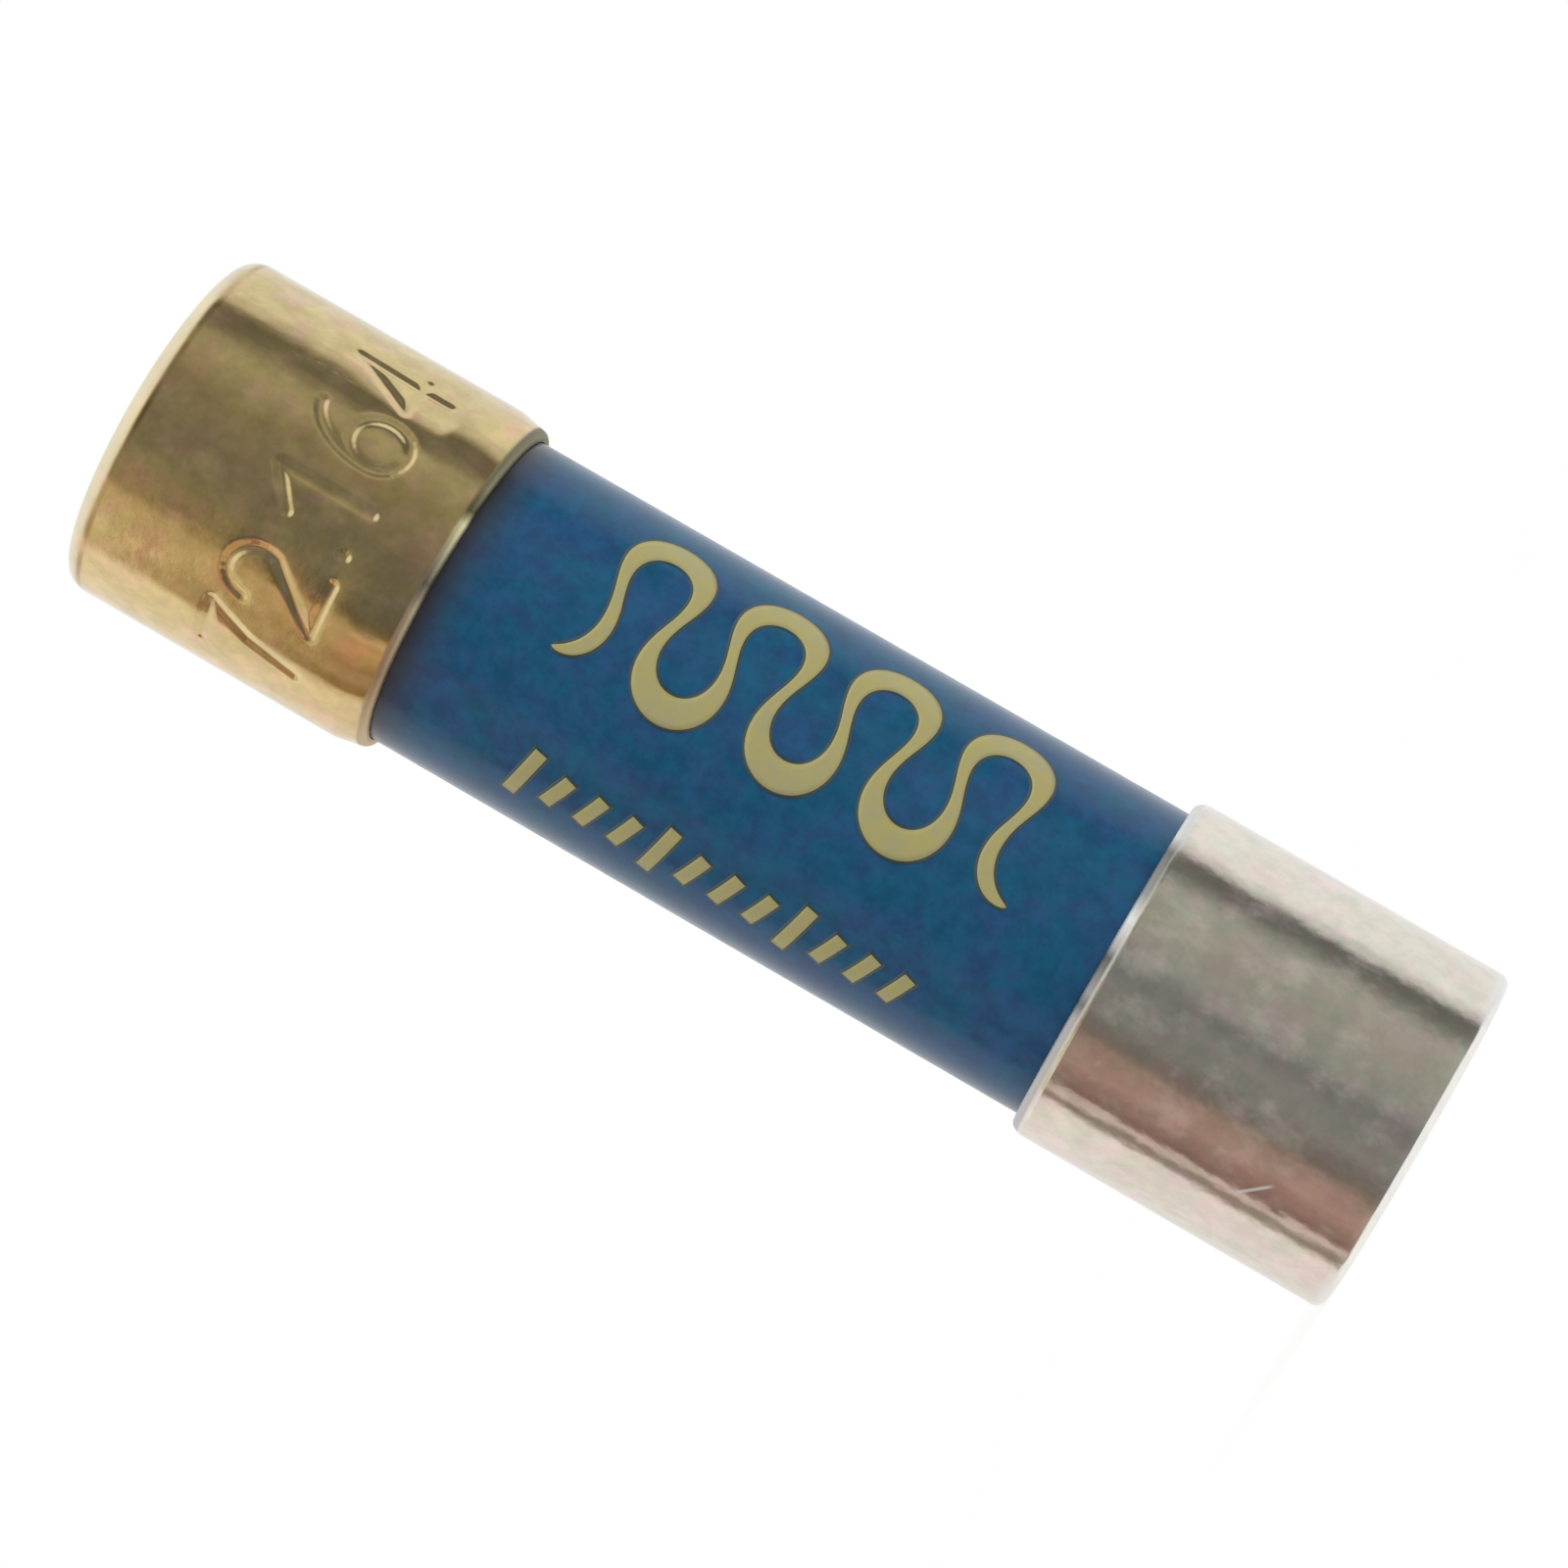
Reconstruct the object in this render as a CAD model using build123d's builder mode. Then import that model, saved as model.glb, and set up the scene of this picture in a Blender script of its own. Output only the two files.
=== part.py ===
"""Miniature cartridge fuse-link, 5 x 20 mm, with a time-lag element.

A coated ceramic tube is closed by two caps drawn from brass sheet, one gold plated and one
silver plated.  Inside, a fine wire is wound on an insulating core that runs from cap to cap,
and a pool of solder in each cap holds an end of it and bears on the end of the tube.

Millimetres.  The fuse stands on its silver cap: +Z runs along its axis towards the gold cap,
and the origin is the centre of the silver cap's end face.
"""

import os

from build123d import *

# ---------------------------------------------------------------- driving dimensions
overall_length = 20.0

cap_diameter = 5.2
cap_wall = 0.16  # drawn side of the cup
cap_end_wall = 0.25  # flat end of the cup, left at the thickness of the sheet
cap_inside_corner = 0.15  # nose radius of the drawing punch

gold_cap_length = 4.8
gold_corner_radius = 0.2  # outside corner between the end and the side
gold_curl_length = 0.7  # stretch of the side that is rolled in on to the tube
silver_cap_length = 4.9
silver_corner_radius = 0.15
silver_curl_length = 0.3

lip_wall = 0.115  # thickness that the rolling leaves at the mouth
lip_edge_radius = 0.1  # outside edge of the mouth
lip_clearance = 0.01  # all round, between the rolled mouth and the tube
cap_on_tube_clearance = 0.075  # all round, along the straight side of the cap

tube_bore = 3.3
tube_end_chamfer = 0.15

solder_depth = 0.35  # between the cap's end wall and the end of the tube
solder_in_cap_clearance = 0.01
solder_mound_margin = 0.3  # between the foot of the solder's mound and the tube's bore
solder_mound_height = 0.8
solder_mound_land = 0.06  # width of the mound's crest round the element

core_diameter = 0.5
wire_diameter = 0.18
wire_sides = 6  # flats round the wire, few because the helix is long
wire_pitch = 1.5
winding_clearance = 0.01  # from wire to core, from wire to solder, and past the wire's ends

# ---------------------------------------------------------------- sizes that follow
cap_radius = cap_diameter / 2
cap_bore_radius = cap_radius - cap_wall

tube_radius = cap_bore_radius - cap_on_tube_clearance
tube_start = cap_end_wall + solder_depth
tube_end = overall_length - tube_start

lip_inner_radius = tube_radius + lip_clearance
lip_outer_radius = lip_inner_radius + lip_wall

core_start = cap_end_wall
core_end = overall_length - cap_end_wall

wire_line_radius = core_diameter / 2 + winding_clearance + wire_diameter / 2
wire_end_margin = wire_diameter / 2 + winding_clearance
wire_start = core_start + wire_end_margin
wire_end = core_end - wire_end_margin
element_hole_radius = wire_line_radius + wire_diameter / 2 + winding_clearance

# Section planes of the two ends.  In each, X is the radius and Y is the distance inwards
# from the end face of the fuse, so a section drawn once serves either end.
silver_end = Plane(origin=(0, 0, 0), x_dir=(1, 0, 0), z_dir=(0, -1, 0))
gold_end = Plane(origin=(0, 0, overall_length), x_dir=(1, 0, 0), z_dir=(0, 1, 0))


def corner_of(section, corner):
    """The vertex of a section that lies at the given radius and height."""
    return section.vertices().sort_by_distance(corner)[0]


def drawn_cap(end_plane, cap_length, corner_radius, curl_length):
    """A cup drawn from sheet: flat end, rounded corner, straight side and rolled-in mouth."""
    curl_start = cap_length - curl_length
    with BuildPart() as cap:
        with BuildSketch(end_plane) as section:
            with BuildLine():
                Polyline((0, cap_end_wall), (0, 0), (cap_radius, 0), (cap_radius, curl_start))
                outside = TangentArc(
                    (cap_radius, curl_start), (lip_outer_radius, cap_length), tangent=(0, 1)
                )
                inside = TangentArc(
                    (cap_bore_radius, curl_start), (lip_inner_radius, cap_length), tangent=(0, 1)
                )
                Line(outside @ 1, inside @ 1)
                Polyline(
                    (cap_bore_radius, curl_start),
                    (cap_bore_radius, cap_end_wall),
                    (0, cap_end_wall),
                )
            make_face()
            fillet(corner_of(section, (cap_radius, 0)), corner_radius)
            fillet(corner_of(section, (cap_bore_radius, cap_end_wall)), cap_inside_corner)
            fillet(corner_of(section, (lip_outer_radius, cap_length)), lip_edge_radius)
        revolve(axis=Axis.Z)
    return cap.part


def solder_pool(end_plane):
    """Solder that fills a cap up to the tube and climbs the element in a hollow-sided mound."""
    pool_radius = cap_bore_radius - solder_in_cap_clearance
    mound_radius = tube_bore / 2 - solder_mound_margin
    crest_radius = element_hole_radius + solder_mound_land
    crest = tube_start + solder_mound_height
    with BuildPart() as pool:
        with BuildSketch(end_plane) as section:
            with BuildLine():
                Polyline(
                    (crest_radius, crest),
                    (element_hole_radius, crest),
                    (element_hole_radius, cap_end_wall),
                    (pool_radius, cap_end_wall),
                    (pool_radius, tube_start),
                    (mound_radius, tube_start),
                )
                EllipticalCenterArc(
                    (mound_radius, crest),
                    x_radius=mound_radius - crest_radius,
                    y_radius=solder_mound_height,
                    start_angle=180,
                    arc_size=90,
                )
            make_face()
            chamfer(corner_of(section, (pool_radius, cap_end_wall)), cap_inside_corner)
        revolve(axis=Axis.Z)
    return pool.part


# ---------------------------------------------------------------- ceramic tube
with BuildPart() as ceramic_tube:
    with BuildSketch(Plane.XY.offset(tube_start)):
        Circle(tube_radius)
        Circle(tube_bore / 2, mode=Mode.SUBTRACT)
    extrude(amount=tube_end - tube_start)
    outer_rims = ceramic_tube.edges().filter_by(GeomType.CIRCLE).group_by(SortBy.RADIUS)[-1]
    chamfer(outer_rims, tube_end_chamfer)

# ---------------------------------------------------------------- fuse element
with BuildPart() as element_core:
    with BuildSketch(Plane.XY.offset(core_start)):
        Circle(core_diameter / 2)
    extrude(amount=core_end - core_start)

with BuildPart() as element_winding:
    with BuildLine() as wire_line:
        Helix(
            pitch=wire_pitch,
            height=wire_end - wire_start,
            radius=wire_line_radius,
            center=(0, 0, wire_start),
        )
    with BuildSketch(Plane(wire_line.line @ 0, z_dir=wire_line.line % 0)):
        RegularPolygon(wire_diameter / 2, wire_sides)
    sweep(path=wire_line.line, is_frenet=True)

# ---------------------------------------------------------------- labels and files
nodes = {
    "ceramic_tube": ceramic_tube.part,
    "gold_end_cap": drawn_cap(
        gold_end, gold_cap_length, gold_corner_radius, gold_curl_length
    ),
    "silver_end_cap": drawn_cap(
        silver_end, silver_cap_length, silver_corner_radius, silver_curl_length
    ),
    "solder_gold_end": solder_pool(gold_end),
    "solder_silver_end": solder_pool(silver_end),
    "element_core": element_core.part,
    "element_winding": element_winding.part,
}

os.makedirs("parts", exist_ok=True)
for node_name, node in nodes.items():
    node.label = node_name
    export_step(node, f"parts/{node_name}.step")
    print(f"{node_name:18s} {node.volume:8.3f} mm3  valid {node.is_valid}")
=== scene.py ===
# %% [markdown]
# # Dressing a 5 x 20 mm fuse in Blender
#
# The packed solids hold the fuse's real sizes: a ceramic tube, a gold cap, a silver cap and the
# element that is sealed inside. They are faceted and have no finish yet. This lesson replaces
# what shows with finer meshes of the same form, gives every piece a procedural material, and
# sets up a small studio. Everything is in metres and stands where the packed model stands.

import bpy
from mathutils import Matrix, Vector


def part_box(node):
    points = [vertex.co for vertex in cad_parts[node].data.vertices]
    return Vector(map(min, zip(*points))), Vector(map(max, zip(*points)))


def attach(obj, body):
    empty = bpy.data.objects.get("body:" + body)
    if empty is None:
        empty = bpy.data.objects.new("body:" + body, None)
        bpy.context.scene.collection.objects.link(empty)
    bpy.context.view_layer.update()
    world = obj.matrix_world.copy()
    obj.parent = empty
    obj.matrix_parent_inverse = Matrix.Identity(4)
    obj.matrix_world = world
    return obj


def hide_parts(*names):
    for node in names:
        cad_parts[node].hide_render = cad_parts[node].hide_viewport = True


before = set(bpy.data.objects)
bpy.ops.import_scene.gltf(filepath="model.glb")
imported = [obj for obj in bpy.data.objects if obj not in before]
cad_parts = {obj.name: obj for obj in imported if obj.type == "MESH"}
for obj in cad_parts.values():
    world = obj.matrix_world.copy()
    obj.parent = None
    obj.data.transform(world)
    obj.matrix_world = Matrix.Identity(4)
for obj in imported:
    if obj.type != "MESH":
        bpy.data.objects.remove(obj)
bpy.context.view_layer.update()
print("packed nodes:", ", ".join(sorted(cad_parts)))

# %% [markdown]
# ## Places and sizes
#
# The packed boxes give the places: where each cap starts and ends, how wide it is, and how wide
# the tube is. A faceted piece is a hair narrower than the round one, so the widths are rounded.
# What a box can't say, such as the rounding of a corner, is a named size further down. The fuse
# stands on its silver cap, so heights run from the silver end to the gold end.

# %% Read the places from the frame
import math

import bmesh
import bpy
import numpy as np
from mathutils import Quaternion, Vector

MM = 0.001

gold_low, gold_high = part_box("gold_end_cap")
silver_low, silver_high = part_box("silver_end_cap")
tube_low, tube_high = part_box("ceramic_tube")

gold_length = gold_high.z - gold_low.z
silver_length = silver_high.z - silver_low.z
cap_radius = round(gold_high.y - gold_low.y, 5) / 2
tube_radius = round(tube_high.y - tube_low.y, 6) / 2
fuse_middle = (gold_high.z + silver_low.z) / 2
print(f"cap radius {cap_radius / MM:.2f} mm")
print(f"tube radius {tube_radius / MM:.2f} mm")

# %% [markdown]
# ## Turned forms
#
# The caps and the tube are turned forms: a profile swept round the axis. The profile is a list
# of (radius, depth) points made of arcs and straight stretches, with the depth measured inwards
# from the piece's own end. A straight stretch gets a ring close to each end, so that smooth
# shading bends only where the metal does.

# %% Arcs and straight stretches
ring_support = 0.02 * MM
support_share = 0.3  # the most that a support ring may take of its step


def arc(centre, radius, start, stop, steps):
    """Points of an arc with both its ends, in degrees. A pair of radii gives an ellipse's arc."""
    wide, high = np.broadcast_to(radius, 2)
    angles = np.radians(np.linspace(start, stop, steps + 1))
    return [(centre[0] + wide * math.cos(a), centre[1] + high * math.sin(a)) for a in angles]


def straight(first, last, steps):
    """Points between two ends, with one close to each end so that shading stays flat."""
    first, last = np.array(first), np.array(last)
    edge = min(ring_support / np.linalg.norm(last - first), support_share / steps)
    shares = [edge, *np.linspace(0, 1, steps + 1)[1:-1], 1 - edge]
    return [tuple(first + (last - first) * share) for share in shares]


print("points along a straight stretch of 3 steps:", len(straight((0, 0), (0, MM), 3)))

# %% [markdown]
# ### Sweeping a profile
#
# The Screw modifier could sweep the profile, but a grid made in code lets rings and columns crowd
# where something is pressed into the metal. Points that fall together on the axis are welded,
# and a ring that is a real crease in the metal is marked sharp.

# %% The swept grid
weld_distance = 1e-8
crease_reach = 1e-7


def add_object(name, data):
    """Adds a mesh, a lamp or a camera to the scene."""
    thing = bpy.data.objects.new(name, data)
    bpy.context.scene.collection.objects.link(thing)
    return thing


def add_piece(name, mesh, shell):
    """Writes an edited shell into its mesh and adds it to the scene, smooth-shaded."""
    bmesh.ops.recalc_face_normals(shell, faces=shell.faces)
    shell.to_mesh(mesh)
    shell.free()
    mesh.shade_smooth()
    print(f"{name}: {len(mesh.polygons)} faces")
    return add_object(name, mesh)


def turned(name, profile, angles, base, upward, press=None, creases=()):
    """Sweeps a closed profile round the axis into one piece.

    Column angles start at -Y and grow towards +X. press(angles, heights, radii) says how far
    the surface is pushed in at each point. Creases are the heights of sharp rings.
    """
    radii = np.array([p[0] for p in profile])[:, None]
    heights = base + (1 if upward else -1) * np.array([p[1] for p in profile])[:, None]
    around = np.broadcast_to(angles[None, :], (len(profile), len(angles)))
    heights = np.broadcast_to(heights, around.shape)
    radii = np.broadcast_to(radii, around.shape)
    if press is not None:
        radii = radii - press(around, heights, radii)
    points = np.stack([radii * np.sin(around), -radii * np.cos(around), heights], axis=-1)

    rows, columns = around.shape
    below = np.arange(rows * columns).reshape(rows, columns)
    above = np.roll(below, -1, axis=0)
    beside = np.roll(below, -1, axis=1)
    quads = np.stack([below, beside, np.roll(above, -1, axis=1), above], axis=-1)
    if profile[0][0] == 0:
        quads = quads[:-1]

    mesh = bpy.data.meshes.new(name)
    mesh.from_pydata(points.reshape(-1, 3).tolist(), [], quads.reshape(-1, 4).tolist())
    shell = bmesh.new()
    shell.from_mesh(mesh)
    bmesh.ops.remove_doubles(shell, verts=shell.verts, dist=weld_distance)
    for edge in shell.edges:
        for crease in creases:
            if all(abs(end.co.z - crease) < crease_reach for end in edge.verts):
                edge.smooth = False
    return add_piece(name, mesh, shell)


print("points closer than", weld_distance, "m are welded")

# %% [markdown]
# ## The drawn caps
#
# Each cap is a cup drawn from brass sheet: a flat end, a rounded corner, a straight side, and a
# mouth that is rolled in until it nearly touches the tube. Both shells are closed and have an
# inside, so the mouth shows the sheet's real thickness. The roll is a list of slopes rather than
# one arc, because a rolling tool leaves a soft lead and a crease that a polished plate shows.

# %% The profile of a cap
cap_wall = 0.16 * MM
cap_end_wall = 0.25 * MM
cap_inside_corner = 0.15 * MM
lip_clearance = 0.01 * MM
lip_edge = 0.1 * MM
roll_step = 0.03 * MM

end_rings = 6
corner_rings = 18
lip_rings = 8
lip_face_rings = 2
inside_rings = 3
inside_corner_rings = 5


def rolled(radius, depth, slopes):
    """Leads the side in, by slopes in degrees at distances from the start of the roll."""
    points = []
    for (near, first), (far, last) in zip(slopes[:-1], slopes[1:]):
        steps = math.ceil((far - near) / roll_step)
        for k in range(steps):
            slope = first + (last - first) * (k + 0.5) / steps
            radius -= (far - near) / steps * math.tan(math.radians(slope))
            depth += (far - near) / steps
            points.append((radius, depth))
    return points


def roll_depth(cap_length, slopes):
    """How far from the end face the roll starts."""
    roll_length, lean = slopes[-1]
    mouth_turn = lip_edge * (1 - math.sin(math.radians(lean)))
    return cap_length - mouth_turn - roll_length


def cap_profile(cap_length, corner, corner_run, corner_lean, slopes, side_depths):
    """From the centre of the end face, round the mouth, to the centre of the inner face.

    The corner is corner wide and corner_run deep, and stops corner_lean degrees before it
    meets the side squarely.
    """
    bore = cap_radius - cap_wall
    lip_inner = tube_radius + lip_clearance
    lean = slopes[-1][1]
    roll_start = roll_depth(cap_length, slopes)

    turn = arc((0, 0), 1.0, -90, -corner_lean, corner_rings)
    corner_centre = cap_radius - corner * turn[-1][0]
    points = [(0.0, 0.0)]
    points += straight((0, 0), (corner_centre, 0), end_rings)
    points += [(corner_centre + corner * x, corner_run + corner_run * y) for x, y in turn]
    points += [(cap_radius, depth) for depth in side_depths(roll_start - ring_support)]
    points += [(cap_radius, roll_start), *rolled(cap_radius, roll_start, slopes)]

    reach = lip_edge * math.cos(math.radians(lean))
    edge_centre = (points[-1][0] - reach, cap_length - lip_edge)
    points += arc(edge_centre, lip_edge, lean, 90, lip_rings)[1:]
    points += straight((edge_centre[0], cap_length), (lip_inner, cap_length), lip_face_rings)
    points += [(lip_inner, cap_length), (lip_inner, cap_length - lip_edge)]

    inner_corner = (bore - cap_inside_corner, cap_end_wall + cap_inside_corner)
    points += straight((bore, roll_start), (bore, inner_corner[1]), inside_rings)
    points += arc(inner_corner, cap_inside_corner, 0, -90, inside_corner_rings)
    points += straight((inner_corner[0], cap_end_wall), (0, cap_end_wall), inside_rings)
    points += [(0.0, cap_end_wall)]
    print(f"the roll starts {roll_start / MM:.2f} mm from the end")
    return points


# %% [markdown]
# ## Figures stamped into the gold cap
#
# A fuse's rating is stamped into the side of its cap with steel punches. Here the place holds a
# plain number that means nothing. Each figure is a few strokes in a cell one unit wide and high,
# and the figures stand side by side round the cap.

# %% Strokes of the figures
bow_steps = 14
loop_steps = 24

FIGURES = {
    "7": [[(-0.5, 1.0), (0.5, 1.0), (0.1, 0.55), (-0.12, 0.0)]],
    "2": [arc((0.0, 0.7), (0.46, 0.3), 170, -25, bow_steps) + [(-0.5, 0.0), (0.5, 0.0)]],
    ".": [[(0.0, 0.03), (0.0, 0.05)]],
    "1": [[(-0.42, 0.72), (0.2, 1.0)], [(0.2, 1.0), (0.2, 0.0)]],
    "6": [
        arc((0.0, 0.3), (0.46, 0.3), 180, -180, loop_steps),
        arc((0.3, 0.3), (0.76, 0.7), 180, 98, bow_steps),
    ],
    "4": [[(0.2, 0.0), (0.2, 1.0), (-0.5, 0.3), (0.5, 0.3)]],
}

stamp_text = "72.164"
stamp_angles = [-52.0, -27.0, -8.0, 3.0, 27.0, 52.0]
stamp_height = 1.44 * MM
stamp_width = 0.84 * MM
stamp_foot = gold_low.z + 1.15 * MM


def stamp_segments():
    """Every straight bit of every stroke, on the unrolled side of the cap."""
    segments = []
    for figure, angle in zip(stamp_text, stamp_angles):
        middle = math.radians(angle) * cap_radius
        for stroke in FIGURES[figure]:
            placed = [(middle + x * stamp_width, stamp_foot + y * stamp_height) for x, y in stroke]
            segments += list(zip(placed[:-1], placed[1:]))
    return np.array(segments)


print("strokes to press:", len(stamp_segments()))

# %% [markdown]
# ### Pressing the figures
#
# A bump map could fake the marks, but real grooves bend the reflections as the stamped metal does
# and are kept in the mesh. The distance from a point of the side to the nearest stroke gives the
# depth of the groove, and a wide shallow shoulder softens its brink. The last punch also left a
# shallow dent round its figure, deepest near the foot.

# %% How far the side is pushed in
groove_half_width = 0.135 * MM
groove_depth = 0.027 * MM
shoulder_width = 0.13 * MM
shoulder_depth = 0.003 * MM

belt_margin = 0.3 * MM
belt_low = stamp_foot - belt_margin
belt_high = stamp_foot + stamp_height + belt_margin

dent_angle = 54.0
dent_half_angle = 22.0
dent_depth = 0.05 * MM
dent_rise, dent_fall = 0.12, 0.8  # shares of the belt over which the dent deepens and fades
same_radius = 1e-9  # how near to the cap's radius a point of the outer side stands


def distance_to_strokes(across, up):
    """Distance from points of the unrolled side to the nearest stroke."""
    nearest = np.full(across.shape, 1.0)
    for (ax, ay), (bx, by) in stamp_segments():
        dx, dy = bx - ax, by - ay
        share = ((across - ax) * dx + (up - ay) * dy) / (dx * dx + dy * dy)
        share = np.clip(share, 0, 1)
        gap = np.hypot(across - ax - share * dx, up - ay - share * dy)
        nearest = np.minimum(nearest, gap)
    return nearest


def hollow(distance, reach):
    """1 in the middle of a round-bottomed hollow, and 0 past its reach."""
    return 0.5 + 0.5 * np.cos(math.pi * np.clip(distance / reach, 0, 1))


def stamped(around, heights, radii):
    """How far the stamping pushes the outer side in."""
    wrapped = (around + math.pi) % (2 * math.pi) - math.pi
    gap = distance_to_strokes(wrapped * cap_radius, heights)
    groove = groove_depth * hollow(gap, groove_half_width)
    shoulder = shoulder_depth * np.exp(-((gap / shoulder_width) ** 2))

    along = (heights - belt_low) / (belt_high - belt_low)
    slope = np.clip(along / dent_rise, 0, 1) * np.clip((1 - along) / dent_fall, 0, 1)
    slope = slope * slope * (3 - 2 * slope)
    aside = np.abs(np.degrees(wrapped) - dent_angle)
    dent = dent_depth * slope * hollow(aside, dent_half_angle)

    outer = radii > cap_radius - same_radius
    return np.where(outer, groove + shoulder + dent, 0.0)


print(f"the stamped belt is {(belt_high - belt_low) / MM:.2f} mm high")

# %% [markdown]
# ### The gold cap
#
# Its corner is soft and deeper than it is wide, and its roll leads in gently before the crease.
# The grid is fine only where the figures are: every 0.02 mm over the stamped belt, and far
# coarser round the back, where nothing is stamped and a fine grid would only add weight.

# %% Turn the gold cap
stamp_step = 0.02 * MM
belt_half_angle = math.radians(67)
back_columns = 100

gold_corner = 0.20 * MM
gold_corner_run = 0.30 * MM
gold_corner_lean = 0
gold_bend = 0.25 * MM
gold_slopes = [(0, 0), (gold_bend, 2), (gold_bend, 11.2), (0.60 * MM, 12.2), (0.63 * MM, 17)]
gold_end = gold_high.z

fine_columns = int(2 * belt_half_angle * cap_radius / stamp_step)
fine_rows = int((belt_high - belt_low) / stamp_step)
belt = np.linspace(-belt_half_angle, belt_half_angle, fine_columns)
back = np.linspace(belt_half_angle, 2 * math.pi - belt_half_angle, back_columns)[1:-1]
gold_angles = np.concatenate([belt, back])


def gold_side(stop):
    """Depths of the rings along the side, crowded over the belt."""
    belt_depths = np.linspace(gold_end - belt_high, gold_end - belt_low, fine_rows)
    return [gold_corner_run + ring_support, *belt_depths, stop]


gold_profile = cap_profile(
    gold_length, gold_corner, gold_corner_run, gold_corner_lean, gold_slopes, gold_side
)
gold_crease = gold_end - roll_depth(gold_length, gold_slopes) - gold_bend
gold_cap = turned(
    "gold_cap_shell", gold_profile, gold_angles, gold_end, False, stamped, [gold_crease]
)

# %% [markdown]
# ### The silver cap
#
# This cap came from a tighter tool. Its corner meets the side at a slight angle, and its short
# roll starts with a crease at once. Nothing is stamped into it, so its grid is even.

# %% Turn the silver cap
even_columns = 288
silver_rings = 30

silver_corner = 0.15 * MM
silver_corner_lean = 14
silver_slopes = [(0, 10), (0.08 * MM, 22), (0.15 * MM, 38)]
even_angles = np.linspace(0, 2 * math.pi, even_columns, endpoint=False)


def silver_side(stop):
    """Depths of the rings along the side, evenly spaced."""
    return np.linspace(silver_corner + ring_support, stop, silver_rings)


silver_profile = cap_profile(
    silver_length, silver_corner, silver_corner, silver_corner_lean, silver_slopes, silver_side
)
corner_drop = silver_corner * (1 - math.sin(math.radians(silver_corner_lean)))
silver_creases = [
    silver_low.z + corner_drop,
    silver_low.z + roll_depth(silver_length, silver_slopes),
]
silver_cap = turned(
    "silver_cap_shell", silver_profile, even_angles, silver_low.z, True, None, silver_creases
)

# %% [markdown]
# ## The ceramic tube
#
# The tube is pressed and fired as one straight pipe. A plain cylinder would do for what shows, but
# the same sweep gives a closed pipe with a bore and the small chamfers that hide in the caps.

# %% Turn the tube
tube_bore_radius = 1.65 * MM
tube_chamfer = 0.15 * MM
tube_rings = 24
tube_length = tube_high.z - tube_low.z

tube_profile = [
    *straight((tube_radius, tube_chamfer), (tube_radius, tube_length - tube_chamfer), tube_rings),
    (tube_radius, tube_length - tube_chamfer),
    (tube_radius - tube_chamfer, tube_length),
    (tube_bore_radius, tube_length),
    (tube_bore_radius, 0.0),
    (tube_radius - tube_chamfer, 0.0),
    (tube_radius, tube_chamfer),
]
tube = turned("coated_tube", tube_profile, even_angles, tube_low.z, True)

# %% [markdown]
# ## Print on the tube
#
# The tube is printed in one ochre ink over a thin dark key line. A mask in the coat's material
# could paint it, but its edges would blur once the material is baked. Here each mark is a ribbon,
# laid out flat and wrapped round the tube as a closed skin of ink a few microns thick.

# %% Wrap ribbons of ink round the tube
ink_lanes = 5


def skin_row(skin, left, right, lift):
    """One row of points across a ribbon, each with its twin sunk into the coat."""
    row = []
    for lane in range(ink_lanes + 1):
        share = lane / ink_lanes
        across = left[0] + (right[0] - left[0]) * share
        height = left[1] + (right[1] - left[1]) * share
        angle = across / tube_radius
        for radius in (tube_radius + lift, tube_radius - 2 * lift):
            point = (radius * math.sin(angle), -radius * math.cos(angle), height)
            row.append(skin.verts.new(point))
    return row


def ink_skin(name, ribbons, lift):
    """Wraps flat ribbons round the tube. A ribbon is a list of (left, right) pairs of points."""
    mesh = bpy.data.meshes.new(name)
    skin = bmesh.new()
    for ribbon in ribbons:
        grid = [skin_row(skin, left, right, lift) for left, right in ribbon]
        for here, there in zip(grid[:-1], grid[1:]):
            for a in range(0, 2 * ink_lanes, 2):
                skin.faces.new((here[a], there[a], there[a + 2], here[a + 2]))
                skin.faces.new((here[a + 1], here[a + 3], there[a + 3], there[a + 1]))
            skin.faces.new((here[0], here[1], there[1], there[0]))
            skin.faces.new((here[-2], there[-2], there[-1], here[-1]))
        for row, turn in ((grid[0], 1), (grid[-1], -1)):
            for a in range(0, 2 * ink_lanes, 2):
                face = (row[a], row[a + 2], row[a + 3], row[a + 1])
                skin.faces.new(face[::turn])
    return add_piece(name, mesh, skin)


def ribbon_along(middle, widths):
    """Pairs of edge points at half the width to either side of a middle line."""
    middle = np.array(middle)
    along = np.gradient(middle, axis=0)
    along /= np.linalg.norm(along, axis=1)[:, None]
    side = np.stack([-along[:, 1], along[:, 0]], axis=1)
    half = np.array(widths)[:, None] / 2
    return list(zip((middle - side * half).tolist(), (middle + side * half).tolist()))


print("lanes across a ribbon of ink:", ink_lanes)

# %% [markdown]
# ### The wave
#
# The design is generic: a flowing wave of four turns over a row of short bars. The wave is thick
# at its crests and thin between them. It could be a sine curve, but a steep one gets pointed
# crests. Here the line's heading swings as a sine, so its crests stay round.

# %% Lay out the wave
wave_top = 13.4 * MM
wave_bottom = 6.35 * MM
wave_centre = math.radians(27) * tube_radius
wave_bend = math.radians(106)
wave_turns = 4
wave_points = 400
wave_thin, wave_thick = 0.15 * MM, 0.44 * MM
wave_taper = 0.05  # share of the wave over which each end thins out
wave_taper_power = 0.6
wave_tip = 0.002


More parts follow.
